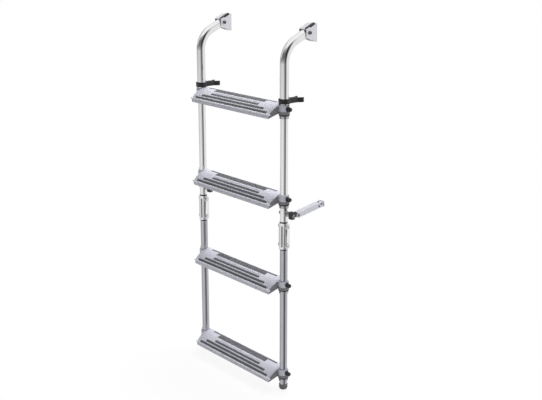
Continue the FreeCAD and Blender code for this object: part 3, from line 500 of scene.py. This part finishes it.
cheek = box_of("bracket_left")[1][0]
low, high = box_of("bracket_bolts")
bolt_y, bolt_z = (low[1] + high[1]) / 2, (low[2] + high[2]) / 2
heads, nuts = [], []
for x in (RAIL_PITCH, 0.0):
    place = Matrix.Translation((x, bolt_y, bolt_z))
    head = button_head(cheek + HEAD_WASHER, radius=0.0052, height=HEAD_TALL, socket=0.0028)
    head.data.transform(place)
    heads.append(head)
    washer = round_edges(rod(cheek, cheek + HEAD_WASHER, radius=0.0072), 0.0002)
    nut = join("arm_nut", [washer] + lock_nut(cheek, radius=0.0065, height=0.0034, thread=0.004,
                                              past=0.0002))
    nut.data.transform(place)
    nuts.append(nut)
fit(join("arm_bolt_heads", heads), fastener, "upper_ladder", "steel", "bracket_bolts")
fit(join("arm_bolt_nuts", nuts), sheet_steel, "upper_ladder", "steel")


# Steps
# Injection-moulded nylon in light lavender grey, 382 mm between the rails, ribbed underneath.
# A fine spark-eroded texture covers it, and every edge is rounded by 0.7 mm.
moulded, shader = new_material("moulded_grey")
speckle = noise_of(shader, scale=900.0, detail=3.0)
cloud = noise_of(shader, scale=14.0, detail=3.0)
tint(shader, cloud, (0.57, 0.57, 0.635), (0.63, 0.63, 0.70))
dull(shader, speckle, 0.42, 0.58)
relief(shader, speckle, 0.00012, 0.4)
STEPS = {"one": "upper", "two": "upper", "three": "lower", "four": "lower"}
step_top = {number: box_of("step_" + number)[1][2] for number in STEPS}
for number, half in STEPS.items():
    tread = round_edges(copy_of_node("step_" + number, "tread_" + number), 0.0007, 2, 40.0)
    fit(tread, moulded, half + "_ladder", "step_plastic", "step_" + number)


# Groove shade strips
# Three near-black strips along the front of each step, set into its grooves as painted shade of deep
# slots.
# Each has a flange 7 mm wide over a narrower tongue, and rounded ends.
groove_shade_paint, shader = new_material("groove_shade_paint")
speckle = noise_of(shader, scale=800.0, detail=4.0)
tint(shader, speckle, (0.085, 0.085, 0.090), (0.130, 0.130, 0.137))
dull(shader, speckle, 0.60, 0.80)
relief(shader, speckle, 0.0002, 0.5)
CROWN_RADIUS = 0.074
CROWN_BEHIND = 0.012
GROOVE_SHADE_WIDTH, GROOVE_SHADE_FLANGE, TONGUE_INSET, TONGUE_DEPTH = 0.0070, 0.0009, 0.0010, 0.0018
PAST_GROOVE = 0.0009
GROOVES = ((29.0, 0.082), (37.5, 0.048), (46.0, 0.027))


def pick_faces(piece, test):
    """Goes into edit mode with only the faces selected whose middle and normal pass the test."""
    mesh = deselected(piece)
    for face in mesh.polygons:
        face.select = test(face.center, face.normal)
    bpy.context.tool_settings.mesh_select_mode = (False, False, True)
    bpy.ops.object.mode_set(mode="EDIT")


def bar(length, width, height):
    """A bar along X with its top at the origin, its ends and its top edges rounded."""
    strip = new_piece(bpy.ops.mesh.primitive_cube_add, size=1.0, location=(0.0, 0.0, -0.5))
    strip.data.transform(Matrix.Diagonal((length, width, height, 1.0)))
    pick_edges(strip, lambda a, b: abs(a.z - b.z) > height / 2)
    bevel(0.48 * width, 5)
    pick_edges(strip, lambda a, b: min(a.z, b.z) > -height / 4)
    bevel(min(0.3 * width, 0.7 * height), 3)
    return strip


def lay_on_crown(strip, degrees, proud):
    """Lays a bar on step one's crown, this far round to the front and this far proud of it."""
    radius, angle = CROWN_RADIUS + proud, math.radians(degrees)
    place = Matrix.Translation((RAIL_PITCH / 2, RAIL_Y + CROWN_BEHIND - radius * math.sin(angle),
                                step_top["one"] - CROWN_RADIUS + radius * math.cos(angle)))
    strip.data.transform(place @ Matrix.Rotation(angle, 4, "X"))
    return smooth(strip, 50.0)


def moved(piece, matrix):
    """A copy of a finished piece with its own mesh, moved by the matrix."""
    twin = bpy.data.objects.new(piece.name, piece.data.copy())
    bpy.context.collection.objects.link(twin)
    twin.data.transform(matrix)
    return twin


def on_every_step(name, pattern, material, slot):
    """Copies of a piece made on step one, one for each step."""
    for number, half in STEPS.items():
        drop = step_top[number] - step_top["one"]
        twin = moved(pattern, Matrix.Translation((0.0, 0.0, drop)))
        twin.name = name + "_" + number
        fit(twin, material, half + "_ladder", slot)
    bpy.data.objects.remove(pattern)


groove_shade_strips = []
for degrees, inset in GROOVES:
    groove_shade_strip = bar(RAIL_PITCH - 2 * (inset - PAST_GROOVE), GROOVE_SHADE_WIDTH, GROOVE_SHADE_FLANGE)
    pick_faces(groove_shade_strip, lambda middle, normal: normal.z < -0.9)
    bpy.ops.mesh.inset(thickness=TONGUE_INSET)
    bpy.ops.mesh.extrude_region_move(TRANSFORM_OT_translate={"value": (0.0, 0.0, -TONGUE_DEPTH)})
    close_mesh()
    groove_shade_strips.append(lay_on_crown(groove_shade_strip, degrees, proud=0.0006))
on_every_step("groove_shade_strips", join("groove_shade_strips", groove_shade_strips), groove_shade_paint, "grip_strip")


# Front edges
# A low rounded lip runs along each step's front edge. It is the same nylon as the step,
# painted a paler grey than the moulding behind it as a painted highlight along the edge.
lip_highlight_paint, shader = new_material("lip_painted_highlight")
lip_mottle = noise_of(shader, scale=40.0, detail=4.0, squeeze=(0.4, 1.0, 1.0))
tint(shader, lip_mottle, (0.80, 0.80, 0.86), (0.90, 0.90, 0.95))
dull(shader, lip_mottle, 0.30, 0.42)
relief(shader, lip_mottle, 0.00005)
FRONT_EDGE, LIP_END = 50.6, 0.007
front_lip = bar(RAIL_PITCH - 2 * LIP_END, width=0.0040, height=0.0022)
lay_on_crown(front_lip, FRONT_EDGE, proud=0.0008)
on_every_step("front_lip", front_lip, lip_highlight_paint, "step_plastic")


# Grip strips
# Dark grey rubber strips let into the tops of the steps, wide in the middle and narrow behind
# the smooth ends. Seven rounded ribs run along each, two of them into the narrow tails.
grip_and_shade_rubber, shader = new_material("grip_rubber_and_painted_shade")
speckle = noise_of(shader, scale=700.0, detail=4.0)
# This dark grey is the real grip strips' rubber, and painted shade where the end plates, ring
# sleeves and hinge strips use it.
tint(shader, speckle, (0.185, 0.185, 0.195), (0.265, 0.265, 0.275))
dull(shader, speckle, 0.65, 0.85)
relief(shader, speckle, 0.0003, 0.5)
finish_nodes(grip_and_shade_rubber, "grip_strips_upper", "grip_strips_lower")
TAIL_INSET, MIDDLE_INSET = 0.037, 0.075
ribs = []
for degrees in (3.6, 5.8, 8.1, 10.3, 12.5, 14.7, 16.7):
    inset = TAIL_INSET if degrees < 6.0 else MIDDLE_INSET
    rib = bar(RAIL_PITCH - 2 * inset, width=0.0017, height=0.0013)
    ribs.append(lay_on_crown(rib, degrees, proud=0.0005))
on_every_step("grip_ribs", join("grip_ribs", ribs), grip_and_shade_rubber, "grip_strip")


# End shade plates
# A plate of the grip strips' dark grey, 0.8 mm thick, covers each end of a step in front of
# the rail as painted shade on the end face. It is cut 1.4 mm smaller than the end all round.
END_REACH, SHADE_PLATE_INSET, SHADE_PLATE_THICKNESS = 0.014, 0.0014, 0.0008
shade_plates = []
for side in (1, -1):
    source = copy_of_node("step_one", "end_source")
    pick_faces(source, lambda middle, normal: side * normal.x > 0.97
               and side * (middle.x - RAIL_PITCH / 2) > RAIL_PITCH / 2 - END_REACH)
    bpy.ops.mesh.separate(type="SELECTED")
    close_mesh()
    shade_plate = [piece for piece in bpy.context.selected_objects if piece != source][0]
    bpy.data.objects.remove(source)
    open_mesh(shade_plate)
    bpy.ops.mesh.dissolve_limited(angle_limit=math.radians(3.0))
    bpy.ops.mesh.inset(thickness=SHADE_PLATE_INSET)
    bpy.ops.mesh.select_all(action="INVERT")
    bpy.ops.mesh.delete(type="FACE")
    close_mesh()
    shade_plates.append(apply_modifier(shade_plate, "SOLIDIFY", thickness=SHADE_PLATE_THICKNESS, offset=1.0))
on_every_step("end_shade_plates", join("end_shade_plates", shade_plates), grip_and_shade_rubber, "step_plastic")


# Rings and collars
# Under each end of a step a black ring and a turned steel collar sit on the rail, and a thin
# dark grey sleeve joins the ring to the step's own ring above it, as painted shade on that ring's
# lower part.
# The collar is held by a small socket screw at its front.
collar_steel, shader = new_material("collar_steel", 1.0)
turning = noise_of(shader, scale=220.0, detail=3.0, squeeze=(1.0, 1.0, 6.0))
tint(shader, turning, (0.46, 0.46, 0.48), (0.62, 0.62, 0.64))
dull(shader, turning, 0.22, 0.36)
relief(shader, turning, 0.00003)
BOSS_RADIUS = -box_of("step_one")[0][0]
BOSS_FOOT = step_top["one"] - box_of("seal_rings_upper")[1][2]
SLEEVE_TALL, SLEEVE_WALL, SLEEVE_MIDDLE = 0.0078, 0.0006, 0.0038
COLLAR_MIDDLE, COLLAR_FRONT = 0.0365, 0.0133
FORWARD = Matrix.Rotation(-math.pi / 2, 4, "Z")
rail_x = {"left": 0.0, "right": RAIL_PITCH}


def step_ends(half):
    """The rail and the top of a step, as x and z, for each end of the steps of a half."""
    return [(x, step_top[number]) for number in STEPS if STEPS[number] == half
            for x in rail_x.values()]


for half in ("upper", "lower"):
    shade_sleeves = []
    for x, top in step_ends(half):
        shade_sleeve = new_piece(bpy.ops.mesh.primitive_cylinder_add, vertices=48, radius=BOSS_RADIUS,
                           depth=SLEEVE_TALL, end_fill_type="NOTHING",
                           location=(x, RAIL_Y, top - BOSS_FOOT + SLEEVE_MIDDLE))
        apply_modifier(shade_sleeve, "SOLIDIFY", thickness=SLEEVE_WALL, offset=1.0)
        shade_sleeves.append(smooth(shade_sleeve, 40.0))
    fit(join("ring_shade_sleeves_" + half, shade_sleeves), grip_and_shade_rubber, half + "_ladder", "black_plastic")
    ring = round_edges(copy_of_node("seal_rings_" + half, "rubber_rings_" + half), 0.0006)
    fit(ring, black, half + "_ladder", "black_plastic", "seal_rings_" + half)
    collar = round_edges(copy_of_node("collars_" + half, "turned_collars_" + half), 0.0007, 3)
    fit(collar, collar_steel, half + "_ladder", "steel", "collars_" + half)
    screws = []
    for x, top in step_ends(half):
        screw = button_head(0.0, radius=0.0026, height=0.0014, socket=0.0012)
        place = Matrix.Translation((x, RAIL_Y - COLLAR_FRONT, top - COLLAR_MIDDLE))
        screw.data.transform(place @ FORWARD)
        screws.append(screw)
    fit(join("collar_screws_" + half, screws), fastener, half + "_ladder", "steel")


# Step bolts
# M6 bolt from inside each end of a step through the rail to a locking nut on the outside.
# The photograph shows a black cap with a domed end over the nuts of the right-hand rail only.
BOLT_BELOW = 0.013
HEAD_RIM, NUT_TALL = 0.003, 0.005
CAP_START, CAP_END, CAP_RADIUS, CAP_DOME = 0.0162, 0.0282, 0.0060, 0.0026
RIM_START, RIM_END, RIM_RADIUS = 0.0152, 0.0170, 0.0070


def bolt(name, head_seat, nut_seat, thread, past=0.0008):
    """A whole bolt about the origin along X, with its head at +X and its nut at -X."""
    radius = thread + HEAD_RIM
    washer = round_edges(rod(head_seat, head_seat + HEAD_WASHER, radius + 0.0010), 0.0002)
    socket = 0.55 * thread + 0.0006
    head = button_head(head_seat + HEAD_WASHER, radius, HEAD_TALL, socket)
    return join(name, [head, washer] + lock_nut(nut_seat, radius, NUT_TALL, thread, past))


def set_out(name, piece, places):
    """Copies of a piece built about the right-hand rail's axis, joined as one piece."""
    copies = []
    for side, z in places:
        turned = Matrix.Rotation(math.pi if side < 0 else 0.0, 4, "Z")
        x = RAIL_PITCH if side > 0 else 0.0
        copies.append(moved(piece, Matrix.Translation((x, RAIL_Y, z)) @ turned))
    bpy.data.objects.remove(piece)
    return join(name, copies)


for half in ("upper", "lower"):
    places = [(side, step_top[number] - BOLT_BELOW) for number in STEPS if STEPS[number] == half
              for side in (1, -1)]
    cap = rod(CAP_START, CAP_END, CAP_RADIUS)
    pick_edges(cap, lambda a, b: min(a.x, b.x) > (CAP_START + CAP_END) / 2)
    bevel(CAP_DOME, 5)
    rim = rod(RIM_START, RIM_END, RIM_RADIUS)
    nut_cap = join("nut_cap", [round_edges(cap, 0.0004, 2, 50.0), round_edges(rim, 0.0004)])
    on_right = [(side, z) for side, z in places if side > 0]
    fit(set_out("nut_caps_" + half, nut_cap, on_right), black, half + "_ladder", "black_plastic")
    step_bolt = bolt("step_bolt", head_seat=0.023, nut_seat=BOSS_RADIUS, thread=0.003, past=0.0022)
    step_bolt.data.transform(Matrix.Rotation(math.pi, 4, "Z"))
    fit(set_out("step_fixings_" + half, step_bolt, places), fastener, half + "_ladder", "steel",
        "step_bolts_" + half)


# Hinge
# Two pressed channel links, rounded to follow the tube, turn on M8 pins in the solid black
# knuckles that close the rail ends. Two flutes in each link's round front hold dark strips as
# painted shade.
LINK_HALF, LINK_SHEET = box_of("hinge_link_left")[1][0], 0.0025
PIN_Z = {"upper": hinge_place["links_hinge"][2], "lower": hinge_place["lower_hinge"][2]}
OUTER_ROUND, INNER_ROUND = 0.0136, 0.0112
NEAR = 0.0001
FLUTE_ANGLE, FLUTE_OUT, SHADE_STRIP_OUT = 27.0, 0.0176, 0.0134
FLUTE_LENGTH, SHADE_STRIP_LENGTH = 0.062, 0.061
KNUCKLE_RADIUS, KNUCKLE_REACH = 0.0111, 0.06
for side, x in rail_x.items():
    name = "hinge_link_" + side
    link = copy_of_node(name, "pressed_" + name)
    for half_width, radius in ((LINK_HALF, OUTER_ROUND), (LINK_HALF - LINK_SHEET, INNER_ROUND)):
        pick_edges(link, lambda a, b: abs(a.z - b.z) > 0.02 and
                   all(abs(abs(p.x - x) - half_width) < NEAR and
                       abs(RAIL_Y - p.y - half_width) < NEAR for p in (a, b)))
        bevel(radius, 14)
    middle = Vector((x, RAIL_Y, (PIN_Z["upper"] + PIN_Z["lower"]) / 2))
    shade_strips = []
    for turn in (math.radians(-FLUTE_ANGLE), math.radians(FLUTE_ANGLE)):
        flute = bar(FLUTE_LENGTH, width=0.0044, height=0.0050)
        strip = bar(SHADE_STRIP_LENGTH, width=0.0034, height=0.0010)
        out = Vector((math.sin(turn), -math.cos(turn), 0.0))
        upright = (Matrix.Rotation(turn, 4, "Z") @ Matrix.Rotation(math.pi / 2, 4, "X")
                   @ Matrix.Rotation(math.pi / 2, 4, "Z"))
        flute.data.transform(Matrix.Translation(middle + FLUTE_OUT * out) @ upright)
        strip.data.transform(Matrix.Translation(middle + SHADE_STRIP_OUT * out) @ upright)
        shade_strips.append(strip)
        cut(link, flute)
    fit(round_edges(link, 0.0005, 2, 40.0), drawn["upper"], "hinge_links", "steel", name)
    fit(join("shade_strips_" + name, shade_strips), grip_and_shade_rubber, "hinge_links", "black_plastic")
# The knuckles' ends are domed, so that they turn inside the links' round fronts
for half, along_rail in (("upper", 1), ("lower", -1)):
    pin_z = PIN_Z[half]
    domes = []
    for x in rail_x.values():
        dome = new_piece(bpy.ops.mesh.primitive_uv_sphere_add, segments=48, ring_count=24,
                         radius=KNUCKLE_RADIUS, location=(x, RAIL_Y, pin_z))
        pick_edges(dome, lambda a, b: min(along_rail * (p.z - pin_z) for p in (a, b)) > NEAR)
        bpy.ops.transform.translate(value=(0.0, 0.0, along_rail * KNUCKLE_REACH))
        close_mesh()
        domes.append(dome)
    knuckle = copy_of_node("knuckles_" + half, "nylon_knuckles_" + half)
    cut(knuckle, join("domes", domes), "INTERSECT")
    fit(round_edges(knuckle, 0.0004), black, half + "_ladder", "black_plastic",
        "knuckles_" + half)
hinge_bolt = bolt("hinge_bolt", head_seat=LINK_HALF, nut_seat=LINK_HALF, thread=0.004)
pins = [(side, pin_z) for side in (1, -1) for pin_z in PIN_Z.values()]
fit(set_out("hinge_bolts", hinge_bolt, pins), sheet_steel, "hinge_links", "steel", "hinge_pins")


# Clips
# Black nylon clips, moulded in one with a ring on the bow arm and a jaw for the folded rail.
# A rib stiffens the bar between them, and one screw clamps the ring.
clip_low, clip_high = box_of("clip_left")
CLIP_FOOT = clip_low[2]
CLIP_TALL, CLIP_FRONT = 0.0138, 0.0161
RIB_BEHIND, RIB_RISE = 0.028, 0.0013
taller = Matrix.Diagonal((1.0, 1.0, CLIP_TALL / (clip_high[2] - CLIP_FOOT), 1.0))
for side, x in rail_x.items():
    name = "clip_" + side
    clip = copy_of_node(name, "moulded_" + name)
    clip.data.transform(Matrix.Translation((0.0, 0.0, CLIP_FOOT)) @ taller
                        @ Matrix.Translation((0.0, 0.0, -CLIP_FOOT)))
    fit(round_edges(clip, 0.0009, 3), black, "upper_ladder", "black_plastic", name)
    rib = bar(0.020, width=0.004, height=0.0018)
    rib.data.transform(Matrix.Translation((x, RAIL_Y + RIB_BEHIND, CLIP_FOOT + CLIP_TALL + RIB_RISE))
                       @ Matrix.Rotation(math.pi / 2, 4, "Z"))
    rib.name = "rib_" + name
    fit(smooth(rib, 50.0), black, "upper_ladder", "black_plastic")
    screw = button_head(0.0, radius=0.0032, height=0.0018, socket=0.0014)
    screw.data.transform(Matrix.Translation((x, RAIL_Y - CLIP_FRONT, CLIP_FOOT + CLIP_TALL / 2))
                         @ FORWARD)
    screw.name = "screw_" + name
    fit(screw, fastener, "upper_ladder", "steel")


# Standoffs
# A black block bolted to the side of each rail carries a light channel arm on a riveted pin.
# A ribbed rubber pad is plugged into the arm's end and held by three small screws.
anodised, shader = new_material("pale_channel", 0.7)
grain = noise_of(shader, scale=150.0, detail=4.0, squeeze=(1.0, 0.2, 1.0))
tint(shader, grain, (0.66, 0.66, 0.73), (0.78, 0.78, 0.85))
dull(shader, grain, 0.38, 0.52)
relief(shader, grain, 0.00003)
pad, shader = new_material("pale_rubber")
speckle = noise_of(shader, scale=500.0, detail=4.0)
tint(shader, speckle, (0.52, 0.52, 0.53), (0.62, 0.62, 0.63))
dull(shader, speckle, 0.6, 0.8)
relief(shader, speckle, 0.0002, 0.4)
fixing = round_edges(copy_of_node("standoff_bolts", "block_bolts"), 0.0008, 3)
fit(fixing, fastener, "upper_ladder", "steel", "standoff_bolts")
SPACER_START, SPACER_END, FLANGE_END = 0.0105, 0.026, 0.0140
PAD_FACE, PAD_RIB_PITCH = 0.0986, 0.0036
TILT = {"left": 2.0, "right": 10.0}
# Where the pad's screws sit along the arm, and which way they face: two on its side, one on top
PAD_SCREWS = (((0.0090, 0.078, -0.0015), 0.0), ((0.0090, 0.087, 0.0020), 0.0),
              ((0.0, 0.084, 0.0075), -math.pi / 2))
for side, x in rail_x.items():
    body = "standoff_" + side
    pivot = hinge_place[body + "_hinge"]
    block = copy_of_node("standoff_block_" + side, "block_" + side)
    open_mesh(block)
    bpy.ops.mesh.bisect(plane_co=(x + SPACER_END, 0.0, 0.0), plane_no=(1.0, 0.0, 0.0),
                        use_fill=True, clear_inner=True)
    close_mesh()
    fit(round_edges(block, 0.0010, 3), black, "upper_ladder", "black_plastic",
        "standoff_block_" + side)
    spacer = round_edges(rod(SPACER_START, SPACER_END, radius=0.0058), 0.0006, 3)
    flange = round_edges(rod(SPACER_START, FLANGE_END, radius=0.0085), 0.0006, 3)
    spacer = join("spacer_" + side, [spacer, flange])
    spacer.data.transform(Matrix.Translation((x, RAIL_Y, pivot[2])))
    fit(spacer, collar_steel, "upper_ladder", "steel")
    arm = round_edges(copy_of_node("standoff_arm_" + side, "channel_" + side), 0.0007, 3)
    fit(arm, anodised, body, "steel", "standoff_arm_" + side)
    rivet = round_edges(copy_of_node("standoff_pin_" + side, "rivet_" + side), 0.0009, 3)
    fit(rivet, fastener, body, "steel", "standoff_pin_" + side)
    face = round_edges(copy_of_node("standoff_pad_" + side, "end_pad_" + side), 0.0012, 3)
    fit(face, pad, body, "pad_rubber", "standoff_pad_" + side)
    along_arm = Matrix.Translation(pivot) @ Matrix.Rotation(math.radians(TILT[side]), 4, "X")
    lines = []
    for row in (-1.5, -0.5, 0.5, 1.5):
        line = bar(0.0168, width=0.0016, height=0.0012)
        line.data.transform(along_arm @ Matrix.Translation((0.0, PAD_FACE, row * PAD_RIB_PITCH))
                            @ Matrix.Rotation(-math.pi / 2, 4, "X"))
        lines.append(line)
    fit(smooth(join("pad_ribs_" + side, lines), 50.0), pad, body, "pad_rubber")
    screws = []
    for place, facing in PAD_SCREWS:
        screw = button_head(0.0, radius=0.0027, height=0.0016, socket=0.0012)
        screw.data.transform(along_arm @ Matrix.Translation(place)
                             @ Matrix.Rotation(facing, 4, "Y"))
        screws.append(screw)
    fit(join("pad_screws_" + side, screws), fastener, body, "steel")


# Rail caps
# Grey rubber caps pushed over the rails' lower ends, with three rings and a rounded sole.
# Each is drawn down from its open edge, ring by ring, to the radii of its outline.
cap_rubber, shader = new_material("cap_rubber")
speckle = noise_of(shader, scale=500.0, detail=4.0)
tint(shader, speckle, (0.15, 0.15, 0.155), (0.23, 0.23, 0.235))
dull(shader, speckle, 0.55, 0.75)
relief(shader, speckle, 0.0002, 0.4)
RAIL_END = box_of("rail_lower_left")[0][2]
# Heights over the rail's end, each with the cap's radius there
CAP_OUTLINE = ((0.0090, 0.0127), (0.0066, 0.0127), (0.0062, 0.0121), (0.0050, 0.0121),
               (0.0046, 0.0127), (0.0026, 0.0127), (0.0022, 0.0121), (0.0010, 0.0121),
               (0.0006, 0.0127), (-0.0020, 0.0124), (-0.0050, 0.0110), (-0.0070, 0.0084))
caps = []
for x in rail_x.values():
    height, radius = CAP_OUTLINE[0]
    cap = new_piece(bpy.ops.mesh.primitive_circle_add, vertices=48, radius=radius,
                    fill_type="NGON", location=(x, RAIL_Y, RAIL_END + height))
    open_mesh(cap)
    for next_height, next_radius in CAP_OUTLINE[1:]:
        drop = (0.0, 0.0, next_height - height)
        bpy.ops.mesh.extrude_region_move(TRANSFORM_OT_translate={"value": drop})
        grow = next_radius / radius
        bpy.ops.transform.resize(value=(grow, grow, 1.0),
                                 center_override=(x, RAIL_Y, RAIL_END + next_height))
        height, radius = next_height, next_radius
    bpy.ops.mesh.select_all(action="SELECT")
    bpy.ops.mesh.normals_make_consistent(inside=False)
    close_mesh()
    caps.append(cap)
foot_caps = smooth(join("foot_caps", caps), 35.0)
fit(foot_caps, cap_rubber, "lower_ladder", "black_plastic", "rail_caps")
